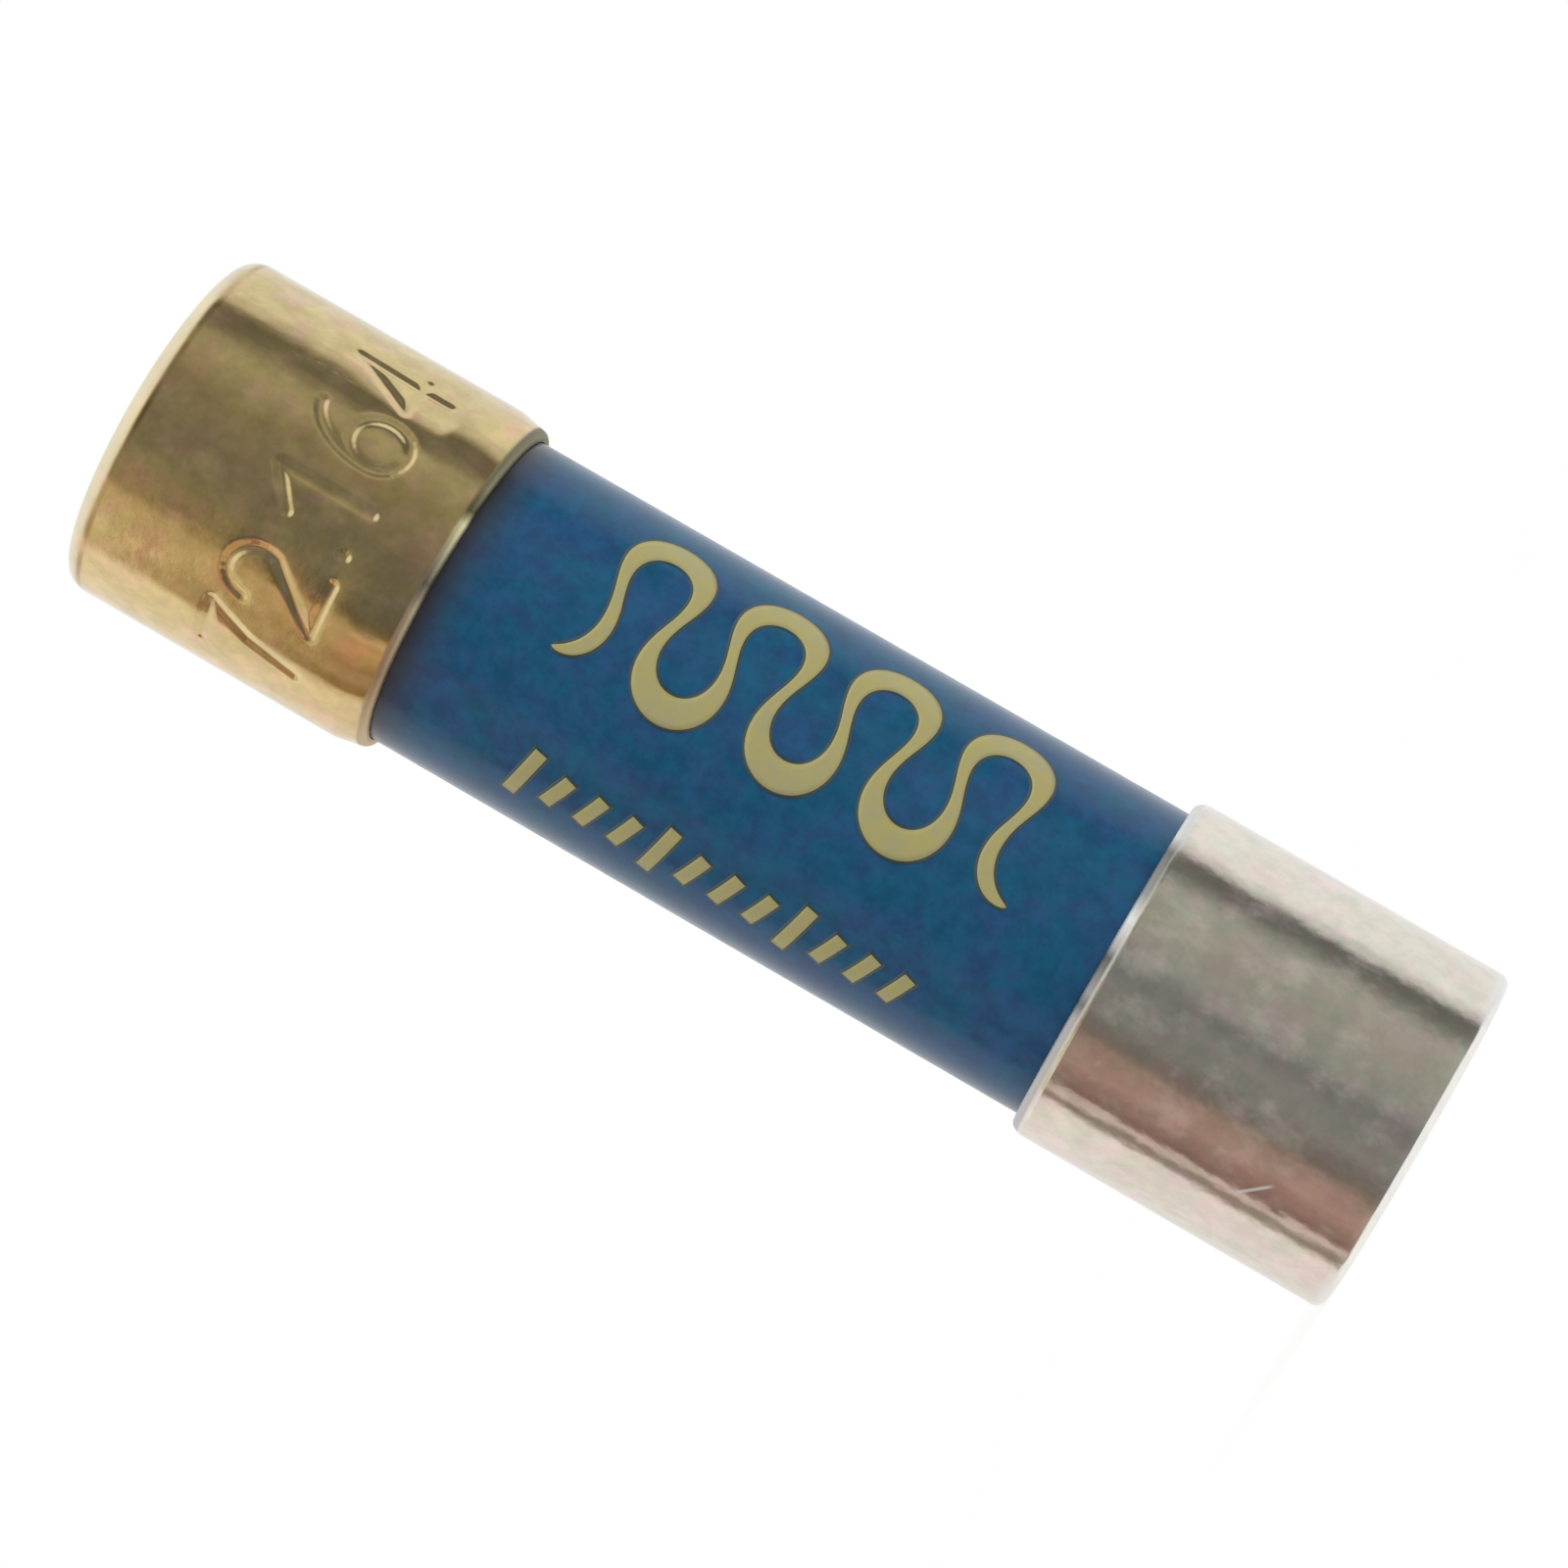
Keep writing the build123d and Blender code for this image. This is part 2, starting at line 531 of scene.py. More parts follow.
def wave_ribbon(extra):
    """A line whose heading swings evenly, with extra width for the key line."""
    shares = np.linspace(0, 1, wave_points)
    phase = 2 * math.pi * wave_turns * shares
    heading = wave_bend * np.sin(phase)
    ahead, aside = np.cumsum(np.cos(heading)), np.cumsum(np.sin(heading))
    scale = (wave_top - wave_bottom) / (ahead[-1] - ahead[0])
    height = wave_top - (ahead - ahead[0]) * scale
    across = wave_centre + (aside - (aside.max() + aside.min()) / 2) * scale

    from_tip = np.minimum(shares, 1 - shares) / wave_taper
    thinning = np.clip(from_tip, wave_tip, 1) ** wave_taper_power
    widths = (wave_thin + (wave_thick - wave_thin) * np.cos(phase) ** 2) * thinning
    return ribbon_along(np.stack([across, height], axis=1), widths + extra)


print(f"the wave is {(wave_top - wave_bottom) / MM:.2f} mm long")

# %% [markdown]
# ### The bars and both inks
#
# The bars are laid out by a loop, and every fourth is longer, as on a ruler. The key line is the
# same ribbons again, a little wider and lower, so that a dark edge shows round each mark.

# %% Lay out the bars and print
ink_lift = 0.006 * MM
key_lift = 0.003 * MM
key_width = 0.045 * MM

bar_count = 12
bar_top = 12.95 * MM
bar_pitch = 0.53 * MM
bar_middle = math.radians(-46) * tube_radius
bar_length = 0.6 * MM
long_bar_length = 0.95 * MM
long_bar_every = 4
bar_slant = 0.12 * MM
bar_width = 0.2 * MM
bar_points = 9


def bar_ribbons(extra):
    """A row of short slanted bars, with extra width and length for the key line."""
    ribbons = []
    shares = np.linspace(-1, 1, bar_points)
    for k in range(bar_count):
        height = bar_top - k * bar_pitch
        length = long_bar_length if k % long_bar_every == 0 else bar_length
        middle = np.array([(bar_middle - length / 2 * s, height + bar_slant * s) for s in shares])
        centre = middle.mean(axis=0)
        middle = centre + (middle - centre) * (1 + extra / length)
        ribbons.append(ribbon_along(middle, np.full(bar_points, bar_width + extra)))
    return ribbons


def printed(name, extra, lift):
    """The whole design in one ink."""
    return ink_skin(name, [wave_ribbon(extra), *bar_ribbons(extra)], lift)


print_key = printed("print_key_line", 2 * key_width, key_lift)
print_ink = printed("print_ochre_ink", 0, ink_lift)

# %% [markdown]
# ## Shader maths as Python
#
# Nodes are easier to read as expressions. This small class wraps an output socket: an operator
# on it adds a Math node, and make() adds any other node, with its settings first and then the
# values or wires of its inputs.

# %% The Wire class
class Wire:
    """An output socket whose operators add Math nodes to its tree."""

    def __init__(self, socket):
        self.socket = socket
        self.tree = socket.id_data

    @staticmethod
    def make(tree, kind, settings=None, inputs=None, output=0):
        """Adds a node and returns one of its outputs."""
        node = tree.nodes.new(kind)
        for name, value in (settings or {}).items():
            if name == "stops":
                set_stops(node.color_ramp, value)
            else:
                setattr(node, name, value)
        for name, value in (inputs or {}).items():
            if isinstance(value, Wire):
                tree.links.new(value.socket, node.inputs[name])
            else:
                node.inputs[name].default_value = value
        return Wire(node.outputs[output])

    def math(self, operation, *values):
        """A Math node on this wire and up to two more values or wires."""
        inputs = dict(enumerate((self, *values)))
        return Wire.make(self.tree, "ShaderNodeMath", {"operation": operation}, inputs)

    def flipped(self, operation, first):
        """A Math node with this wire as the second value."""
        inputs = {0: first, 1: self}
        return Wire.make(self.tree, "ShaderNodeMath", {"operation": operation}, inputs)

    def __add__(self, other):
        return self.math("ADD", other)

    def __sub__(self, other):
        return self.math("SUBTRACT", other)

    def __mul__(self, other):
        return self.math("MULTIPLY", other)

    def __truediv__(self, other):
        return self.math("DIVIDE", other)

    def __neg__(self):
        return self * -1.0

    def __rsub__(self, first):
        return self.flipped("SUBTRACT", first)

    def __rtruediv__(self, first):
        return self.flipped("DIVIDE", first)

    __radd__ = __add__
    __rmul__ = __mul__

    def size(self):
        """The value without its sign."""
        return self.math("ABSOLUTE")

    def smooth(self, start, stop):
        """An S-curve from 0 at start to 1 at stop. Start may be the larger of the two."""
        settings = {"interpolation_type": "SMOOTHSTEP"}
        return Wire.make(self.tree, "ShaderNodeMapRange", settings, {0: self, 1: start, 2: stop})

    def blend(self, first, second):
        """A mix of two colours with this wire as the factor."""
        settings = {"data_type": "RGBA"}
        return Wire.make(self.tree, "ShaderNodeMix", settings, {0: self, 6: first, 7: second}, 2)

    def ramp(self, stops):
        """A colour for each value, by (position, colour) stops."""
        return Wire.make(self.tree, "ShaderNodeValToRGB", {"stops": stops}, {"Fac": self}, "Color")


def set_stops(ramp, stops):
    """Fills a colour ramp with (position, colour) stops."""
    while len(ramp.elements) < len(stops):
        ramp.elements.new(1.0)
    for element, (position, colour) in zip(ramp.elements, stops):
        element.position = position
        element.color = (*colour[:3], 1.0)


print("reflected operators:", [name for name in vars(Wire) if name.startswith("__r")])

# %% [markdown]
# ## Starting a material
#
# Every material starts the same way: a Principled shader, and the place on the object in
# millimetres. Object coordinates ride with the piece, and the unit suits so small a thing: a
# noise of scale 2 has about two lumps to a millimetre.

# %% Helpers that every material uses
def new_material(name):
    """A material with a Principled shader, and its place on the object in millimetres."""
    material = bpy.data.materials.new(name)
    material.use_nodes = True
    tree = material.node_tree
    shader = tree.nodes["Principled BSDF"]
    place = Wire.make(tree, "ShaderNodeTexCoord", output="Object")
    settings = {"operation": "SCALE"}
    place = Wire.make(tree, "ShaderNodeVectorMath", settings, {0: place, "Scale": 1 / MM})
    print("material", name)
    return material, shader, place


def noise(place, lumps, detail=2.0, roughness=0.5):
    """Noise from 0 to 1 with about so many lumps to a millimetre."""
    inputs = {"Vector": place, "Scale": lumps, "Detail": detail, "Roughness": roughness}
    return Wire.make(place.tree, "ShaderNodeTexNoise", None, inputs, "Fac")


def stretched(place, x, y, z):
    """The place with each direction scaled by itself."""
    settings = {"operation": "MULTIPLY"}
    return Wire.make(place.tree, "ShaderNodeVectorMath", settings, {0: place, 1: (x, y, z)})


def part_of(vector, letter):
    """One of the X, Y and Z parts of a vector."""
    return Wire.make(vector.tree, "ShaderNodeSeparateXYZ", None, {0: vector}, letter)


def scaled(colour, factor):
    """A colour times a wire."""
    settings = {"operation": "SCALE"}
    return Wire.make(colour.tree, "ShaderNodeVectorMath", settings, {0: colour, "Scale": factor})


def bumped(height):
    """A normal bent by a height given in millimetres."""
    inputs = {"Height": height, "Distance": MM, "Strength": 1.0}
    return Wire.make(height.tree, "ShaderNodeBump", None, inputs, "Normal")


def wire_up(shader, **sockets):
    """Gives the shader's sockets wires or constants. Underscores in a name stand for spaces."""
    for name, value in sockets.items():
        socket = shader.inputs[name.replace("_", " ")]
        if isinstance(value, Wire):
            value.tree.links.new(value.socket, socket)
        else:
            socket.default_value = value


# %% [markdown]
# ## Plated metal
#
# Both caps are brass under a thin bright plate. The plate copies the drawn metal below it: long
# ripples from the die, shallow dimples, a fine grain and hair scratches, which go into the bump.
# Its tint wanders in patches, and a thin dull film lies on parts of it. The film could be a
# second shader, but a slightly lower Metallic does the same and bakes well: it adds a little even
# light, which shows in dark reflections and hardly in bright ones. The end corner is worn pale,
# tarnish lies in a ring beside it, and the mouth's cut edge is dull. Round the rim, the edge's
# colour also holds painted highlights and painted shade.

# %% A plate
tint_levels = (0.36, 0.46, 0.54, 0.64)
cloud_contrast = (0.32, 0.68)  # noise levels at which a pattern starts and is full
film_contrast = (0.48, 0.70)
tarnish_contrast = (0.3, 0.7)
scratch_contrast = (0.66, 0.72)
scratch_depth = 0.8  # in heights of the grain

worn_share = 0.6
worn_reach = (0.26, 0.10)  # each reach is in mm: where a mark begins, and where it is full
rim_reach = (0.16, 0.09)
tarnish_centre = 0.25
tarnish_reach = (0.07, 0.01)
tarnish_brown = (0.36, 0.22, 0.09, 1)

nick_reach = (0.032, 0.010)
nick_pale = (0.72, 0.68, 0.64, 1)
nick_metal = 0.1  # how metallic a nick stays

polish = 0.05
grain_roughness = 0.05
rim_roughness = 0.5
worn_roughness = 0.06


def nick(place, x, z, angle, length):
    """1 inside a short scratch on the front that crosses the place (x, z), and 0 elsewhere."""
    inputs = {"Vector": place, "Center": (x, 0, z), "Axis": (0, 1, 0), "Angle": math.radians(angle)}
    along_nick = Wire.make(place.tree, "ShaderNodeVectorRotate", None, inputs)
    length_mask = (part_of(along_nick, "X") - x).size().smooth(length / 2, length / 4)
    width_mask = (part_of(along_nick, "Z") - z).size().smooth(*nick_reach)
    front_mask = (-part_of(place, "Y")).smooth(0.0, 0.5)
    return length_mask * width_mask * front_mask


def plate_relief(place, ripple, peel, grain):
    """The plate's relief in millimetres, and the masks of its grain and its hair scratches."""
    drawn = noise(stretched(place, 1.6, 1.6, 0.35), lumps=1.0, detail=2.0)
    dimples = noise(place, lumps=2.2, detail=2.0)
    fine = noise(place, lumps=14.0, detail=3.0, roughness=0.65)
    hairs = noise(stretched(place, 9.0, 9.0, 0.8), lumps=1.0, detail=4.0, roughness=0.7)
    scratches = hairs.smooth(*scratch_contrast)
    height = drawn * ripple + dimples * peel + fine * grain - scratches * grain * scratch_depth
    return height, fine, scratches


def plated(
    name, end, mouth, tints, clouding, film, rim, worn, stain, ripple, peel, grain, nicks=()
):
    """A polished plate. End and mouth are heights, and the rim's painted highlights and shade run
    over X.
    """
    material, shader, place = new_material(name)
    height, fine, scratches = plate_relief(place, ripple, peel, grain)

    patches = noise(place, lumps=1.3, detail=3.0, roughness=0.6)
    cloud = noise(place, lumps=2.4, detail=5.0, roughness=0.66).smooth(*cloud_contrast)
    colour = patches.ramp(list(zip(tint_levels, tints)))
    colour = scaled(colour, 1.0 - clouding / 2 + cloud * clouding)

    level = part_of(place, "Z")
    from_end = (level - end / MM).size()
    at_end = from_end.smooth(*worn_reach)
    at_mouth = (level - mouth / MM).size().smooth(*rim_reach)
    tarnish = (from_end - tarnish_centre).size().smooth(*tarnish_reach)
    tarnish = tarnish * noise(place, lumps=1.2, detail=2.0).smooth(*tarnish_contrast)
    across = part_of(place, "X") / (2 * cap_radius / MM) + 0.5
    colour = (at_end * worn_share).blend(colour, worn)
    colour = (tarnish * stain).blend(colour, tarnish_brown)
    # The mouth's rim takes painted highlights and painted shade that change across X.
    colour = at_mouth.blend(colour, across.ramp(rim))

    haze = noise(stretched(place, 1.0, 1.0, 0.7), lumps=1.9, detail=4.0, roughness=0.62)
    metallic = 1.0 - haze.smooth(*film_contrast) * film
    for where in nicks:
        mark = nick(place, *where)
        colour = mark.blend(colour, nick_pale)
        metallic = metallic - mark * (1.0 - nick_metal - film)

    roughness = polish + fine * grain_roughness + scratches * grain_roughness
    wire_up(
        shader,
        Base_Color=colour,
        Metallic=metallic,
        Roughness=roughness + at_mouth * rim_roughness + at_end * worn_roughness,
        Normal=bumped(height),
    )
    return material


# %% [markdown]
# ### The two plates
#
# Gold over brass is warm and a little uneven, and it keeps long soft ripples. Silver is paler and
# flatter, with more film on it and one nick from handling. The cut edge of each mouth is dull, and
# its colour holds painted highlights and painted shade that change round the rim.

# %% Gold plate and silver plate
def grey(level):
    """A neutral colour."""
    return (level, level, level)


# Colours round each mouth's rim by X: painted highlights and painted shade.
gold_rim_painted_light = [
    (0.05, (0.62, 0.50, 0.33)), (0.21, (0.42, 0.30, 0.19)), (0.40, (0.52, 0.44, 0.31)),
    (0.475, (0.20, 0.17, 0.14)), (0.655, (0.90, 0.83, 0.54)), (0.695, (0.16, 0.15, 0.09)),
    (0.77, (0.32, 0.30, 0.19)), (0.96, (0.28, 0.25, 0.17)),
]
silver_rim_painted_light = [
    (0.05, grey(0.60)), (0.34, grey(0.56)), (0.38, grey(0.26)), (0.42, grey(0.48)),
    (0.52, grey(0.20)), (0.55, grey(0.58)), (0.635, grey(0.98)), (0.71, grey(0.46)),
    (0.835, grey(0.27)), (0.88, grey(0.85)),
]
gold_plate = plated(
    "gold_plate",
    end=gold_high.z,
    mouth=gold_low.z,
    tints=[(0.77, 0.55, 0.32), (0.71, 0.57, 0.29), (0.67, 0.54, 0.26), (0.73, 0.54, 0.33)],
    clouding=0.20,
    film=0.09,
    rim=gold_rim_painted_light,
    worn=(0.80, 0.75, 0.62, 1),
    stain=0.8,
    ripple=0.012,
    peel=0.003,
    grain=0.0006,
)
silver_plate = plated(
    "silver_plate",
    end=silver_low.z,
    mouth=silver_high.z,
    tints=[(0.82, 0.72, 0.66), (0.79, 0.74, 0.65), (0.73, 0.73, 0.62), (0.81, 0.71, 0.66)],
    clouding=0.14,
    film=0.16,
    rim=silver_rim_painted_light,
    worn=(0.88, 0.88, 0.88, 1),
    stain=0.0,
    ripple=0.005,
    peel=0.008,
    grain=0.0005,
    nicks=[(-1.60, 1.63, -50, 0.62)],
)

# %% [markdown]
# ## The blue coat
#
# The tube's coat is a deep blue lacquer that pooled unevenly, so its blue wanders between green
# and violet. Its gloss could be a clear coat on top, but the shader's own Fresnel already lifts
# the edges at a low angle. Beside the gold cap the coat's colour turns brown: a painted shadow of
# the cap's mouth.

# %% Blue lacquer
teal_light, violet_light = (0.005, 0.106, 0.207, 1), (0.016, 0.092, 0.216, 1)
teal_deep, violet_deep = (0.005, 0.075, 0.154, 1), (0.016, 0.063, 0.160, 1)
# A brown painted shadow of the gold cap's mouth, darker towards the cap.
painted_shadow_brown = (0.046, 0.030, 0.026, 1)
painted_shadow_reach = (0.75, -0.25)  # mm below the gold cap: where it begins, and where it would be full
hue_contrast = (0.38, 0.62)
pool_contrast = (0.3, 0.7)
lacquer_polish = 0.16
pool_roughness = 0.1
lacquer_relief = 0.004
lacquer_ior = 1.38


def blue_lacquer():
    material, shader, place = new_material("blue_lacquer")
    hue = noise(stretched(place, 1.0, 1.0, 0.8), lumps=1.7, detail=3.0, roughness=0.6)
    hue = hue.smooth(*hue_contrast)
    pool = noise(place, lumps=3.0, detail=4.0, roughness=0.7).smooth(*pool_contrast)
    deep = hue.blend(teal_deep, violet_deep)
    light = hue.blend(teal_light, violet_light)
    # Painted shadow: the blue turns brown towards the gold cap's mouth.
    below_gold = gold_low.z / MM - part_of(place, "Z")
    painted_shadow = below_gold.smooth(*painted_shadow_reach)
    wire_up(
        shader,
        Base_Color=painted_shadow.blend(pool.blend(deep, light), painted_shadow_brown),
        Roughness=lacquer_polish + pool * pool_roughness,
        IOR=lacquer_ior,
        Normal=bumped(noise(place, lumps=2.2, detail=3.0) * lacquer_relief),
    )
    return material


tube_coat = blue_lacquer()

# %% [markdown]
# ## The inks
#
# Printing ink on a hard coat is half matt and slightly mottled where it took unevenly. One colour
# would look like plastic, so each ink wanders between two near ones.

# %% Ochre ink and key ink
ochre, pale_ochre = (0.43, 0.38, 0.13, 1), (0.385, 0.355, 0.18, 1)
key_dark, key_light = (0.02, 0.05, 0.07, 1), (0.04, 0.07, 0.07, 1)
mottle_contrast = (0.3, 0.75)
ink_roughness = 0.3
mottle_roughness = 0.1
ink_relief = 0.002


def ochre_ink():
    material, shader, place = new_material("ochre_ink")
    mottle = noise(place, lumps=4.0, detail=4.0, roughness=0.65).smooth(*mottle_contrast)
    wire_up(
        shader,
        Base_Color=mottle.blend(ochre, pale_ochre),
        Roughness=ink_roughness + mottle * mottle_roughness,
        Normal=bumped(noise(place, lumps=8.0, detail=2.0) * ink_relief),
    )
    return material


def key_ink():
    material, shader, place = new_material("key_ink")
    mottle = noise(place, lumps=6.0, detail=3.0, roughness=0.6)
    wire_up(
        shader,
        Base_Color=mottle.blend(key_dark, key_light),
        Roughness=ink_roughness + mottle * mottle_roughness,
    )
    return material


ochre_print, key_print = ochre_ink(), key_ink()

# %% [markdown]
# ## Inside pieces
#
# The solder, the core and the wire are sealed in, but they are real pieces. Plain grey would do
# for what nobody sees, yet each gets its own finish for anyone who opens the model: dull tin with
# a frosted skin, white fired yarn with its lay, and tinned wire.

# %% Materials of the sealed pieces
frost_dark, frost_light = (0.55, 0.55, 0.56, 1), (0.68, 0.68, 0.67, 1)
yarn_shade, yarn_white = (0.62, 0.60, 0.54, 1), (0.80, 0.79, 0.74, 1)
wire_dark, wire_light = (0.66, 0.66, 0.66, 1), (0.76, 0.75, 0.73, 1)
frost_contrast = (0.3, 0.7)
tin_polish, frost_roughness, frost_relief = 0.3, 0.25, 0.006
yarn_roughness, lay_polish, lay_relief = 0.8, 0.1, 0.01
wire_polish, drawn_roughness, drawn_relief = 0.22, 0.15, 0.002


def tin_solder():
    material, shader, place = new_material("tin_solder")
    frost = noise(place, lumps=9.0, detail=4.0, roughness=0.7)
    wire_up(
        shader,
        Base_Color=frost.smooth(*frost_contrast).blend(frost_dark, frost_light),
        Metallic=1.0,
        Roughness=tin_polish + frost * frost_roughness,
        Normal=bumped(frost * frost_relief),
    )
    return material


def yarn():
    material, shader, place = new_material("insulating_yarn")
    settings = {"wave_type": "BANDS", "bands_direction": "DIAGONAL"}
    inputs = {"Vector": place, "Scale": 3.0, "Distortion": 1.5, "Detail": 2.0}
    lay = Wire.make(place.tree, "ShaderNodeTexWave", settings, inputs, "Fac")
    wire_up(
        shader,
        Base_Color=lay.blend(yarn_shade, yarn_white),
        Roughness=yarn_roughness - lay * lay_polish,
        Normal=bumped(lay * lay_relief),
    )
    return material


def tinned_wire():
    material, shader, place = new_material("tinned_wire")
    drawn = noise(stretched(place, 10.0, 10.0, 2.0), lumps=1.0, detail=3.0)
    wire_up(
        shader,
        Base_Color=drawn.blend(wire_dark, wire_light),
        Metallic=1.0,
        Roughness=wire_polish + drawn * drawn_roughness,
        Normal=bumped(drawn * drawn_relief),
    )
    return material


solder, core, winding = tin_solder(), yarn(), tinned_wire()

# %% [markdown]
# ## Dress the pieces
#
# Each new mesh rides on the fuse's one body and stands for the packed solid that it covers. The
# sealed pieces keep their packed solids and only change material.

# %% Materials and bodies
def dress(piece, material, slot, *nodes):
    """Gives a new piece its finish and its body, and hides the packed nodes it stands for. The slot
    is not used.
    """
    piece.data.materials.clear()
    piece.data.materials.append(material)
    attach(piece, "root")
    if nodes:
        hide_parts(*nodes)
    print(piece.name, "wears", material.name)


dress(gold_cap, gold_plate, "gold_plate", "gold_end_cap")
dress(silver_cap, silver_plate, "silver_plate", "silver_end_cap")
dress(tube, tube_coat, "ceramic_tube", "ceramic_tube")
dress(print_ink, ochre_print, "ceramic_tube")
dress(print_key, key_print, "ceramic_tube")

sealed = {
    "solder_gold_end": solder,
    "solder_silver_end": solder,
    "element_core": core,
    "element_winding": winding,
}
for node_name, material in sealed.items():
    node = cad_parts[node_name]
    node.data.materials.clear()
    node.data.materials.append(material)
    node.data.shade_smooth()
    print(node_name, "wears", material.name)

# %% [markdown]
# ## The floor
#
# The fuse stands on a white table. A plain white floor would turn grey towards the picture's
# edge, so for the camera it is dimmer paint that also shines a little by itself: it stays white
# and keeps a faint shadow at the foot of the fuse. For all other light it is plain white paint. It
# is left out of the reflections, which come from the studio in the next steps.

# %% A white table
floor_size = 1.2
floor_corners = [
    (x * floor_size, y * floor_size, 0.0) for x, y in ((-1, -1), (1, -1), (1, 1), (-1, 1))
]
floor_mesh = bpy.data.meshes.new("table_top")
floor_mesh.from_pydata(floor_corners, [], [(0, 1, 2, 3)])
floor = add_object("table_top", floor_mesh)
floor.visible_glossy = False

table_paint = {"Color": (0.8, 0.8, 0.8, 1)}
dim_paint = {"Color": (0.3, 0.3, 0.3, 1)}
table_shine = {"Color": (1, 1, 1, 1), "Strength": 0.78}

floor_paint = bpy.data.materials.new("table_white")
floor_paint.use_nodes = True
tree = floor_paint.node_tree
tree.nodes.clear()
seen = Wire.make(tree, "ShaderNodeLightPath", output="Is Camera Ray")
plain = Wire.make(tree, "ShaderNodeBsdfDiffuse", None, table_paint)
dim = Wire.make(tree, "ShaderNodeBsdfDiffuse", None, dim_paint)
shine = Wire.make(tree, "ShaderNodeEmission", None, table_shine)
lit = Wire.make(tree, "ShaderNodeAddShader", None, {0: dim, 1: shine})
shown = Wire.make(tree, "ShaderNodeMixShader", None, {0: seen, 1: plain, 2: lit})
output = tree.nodes.new("ShaderNodeOutputMaterial")
tree.links.new(shown.socket, output.inputs["Surface"])
floor_mesh.materials.append(floor_paint)
print("the table is", 2 * floor_size, "m wide")

# %% [markdown]
# ## The studio
#
# Polished metal shows the room, so the room is part of the finish. A white sweep stands behind
# the fuse and over it. The front of the room is dim, darkest beside the sweep, and something warm
# stands to its left. Softboxes could build this, but a world drawn by direction is quicker and
# has no grain. Each list gives the room's colour by the angle round from straight in front of
# the fuse, at 0, to straight behind it, at 180. An upright side mirrors light at the same slant
# as it is looked at, so the level lists serve the silver cap, and the others serve the gold cap
# and the heights between.

# %% Colours of the room
plain_level = [
    (0, grey(0.215)), (4, grey(0.22)), (14, (0.325, 0.325, 0.31)), (38, (0.365, 0.36, 0.32)),
    (60, (0.415, 0.415, 0.38)), (65, (0.37, 0.37, 0.34)), (76, (0.195, 0.195, 0.18)),
    (82, (0.16, 0.16, 0.15)), (86, (0.17, 0.165, 0.155)), (89, (0.33, 0.325, 0.315)),
    (92, (0.60, 0.59, 0.58)), (101, (0.88, 0.87, 0.87)), (106, (0.92, 0.91, 0.91)),
    (180, (0.92, 0.92, 0.92)),
]
plain_beyond = [
    (0, (0.22, 0.21, 0.20)), (20, (0.285, 0.27, 0.25)), (32, (0.285, 0.27, 0.22)),
    (57, (0.45, 0.43, 0.36)), (64, (0.40, 0.39, 0.34)), (69, (0.28, 0.27, 0.24)),
    (75, (0.205, 0.20, 0.19)), (87, (0.185, 0.18, 0.16)), (91, (0.32, 0.30, 0.27)),
    (94, (0.54, 0.52, 0.52)), (102, (0.86, 0.87, 0.89)), (180, (0.91, 0.93, 0.95)),
]
warm_level = [
    (0, grey(0.215)), (8, (0.25, 0.245, 0.24)), (25, (0.25, 0.245, 0.235)),
    (33, (0.21, 0.19, 0.18)), (40, (0.21, 0.175, 0.155)), (47, (0.355, 0.245, 0.21)),
    (62, (0.43, 0.285, 0.25)), (69, (0.34, 0.22, 0.19)), (75, (0.31, 0.20, 0.175)),
    (79, (0.255, 0.16, 0.14)), (82, (0.28, 0.18, 0.16)), (84.5, (0.60, 0.46, 0.43)),
    (87.5, (0.68, 0.55, 0.52)), (92, (0.31, 0.25, 0.22)), (95, (0.32, 0.26, 0.23)),
    (97.5, (0.48, 0.40, 0.36)), (101, (0.86, 0.79, 0.77)), (105, (0.89, 0.83, 0.81)),
    (180, (0.88, 0.86, 0.85)),
]
warm_beyond = [
    (0, grey(0.195)), (26, grey(0.20)), (41, grey(0.145)), (46, (0.185, 0.155, 0.125)),
    (50, (0.25, 0.18, 0.12)), (53, (0.52, 0.38, 0.28)), (56.5, (0.70, 0.52, 0.39)),
    (61, (0.58, 0.41, 0.27)), (66, (0.66, 0.47, 0.32)), (78, (0.385, 0.27, 0.17)),
    (87, (0.49, 0.36, 0.28)), (94, (0.36, 0.25, 0.145)), (97, (0.38, 0.26, 0.15)),
    (100, (0.66, 0.54, 0.44)), (104, (0.88, 0.81, 0.76)), (109, (0.90, 0.86, 0.82)),
    (180, (0.92, 0.91, 0.90)),
]
warm_upper = [
    (0, (0.23, 0.22, 0.21)), (20, (0.245, 0.235, 0.21)), (44, (0.32, 0.26, 0.19)),
    (56, (0.57, 0.46, 0.33)), (70, (0.59, 0.47, 0.35)), (97, (0.53, 0.42, 0.29)),
    (103, (0.92, 0.85, 0.80)), (107, (0.95, 0.90, 0.88)), (180, (0.94, 0.93, 0.93)),
]
warm_top = [
    (0, (0.23, 0.22, 0.21)), (20, (0.26, 0.25, 0.22)), (44, (0.38, 0.32, 0.25)),
    (52, (0.60, 0.51, 0.39)), (78, (0.80, 0.76, 0.60)), (88, (0.74, 0.67, 0.53)),
    (96, (0.74, 0.66, 0.56)), (102, (0.93, 0.87, 0.83)), (107, (0.97, 0.93, 0.93)),
    (180, (0.95, 0.95, 0.97)),
]
print("colours round the warm side:", len(warm_level), "level,", len(warm_top), "at the top")

# %% [markdown]
# ### Joining the room
#
# The direction of a ray tells which side and which height of the room it meets, and the lists are
# blended softly from one to the next. Only reflections see this room. The camera sees plain
# white, and everything else is lit by even light, so that the colours render as they are.

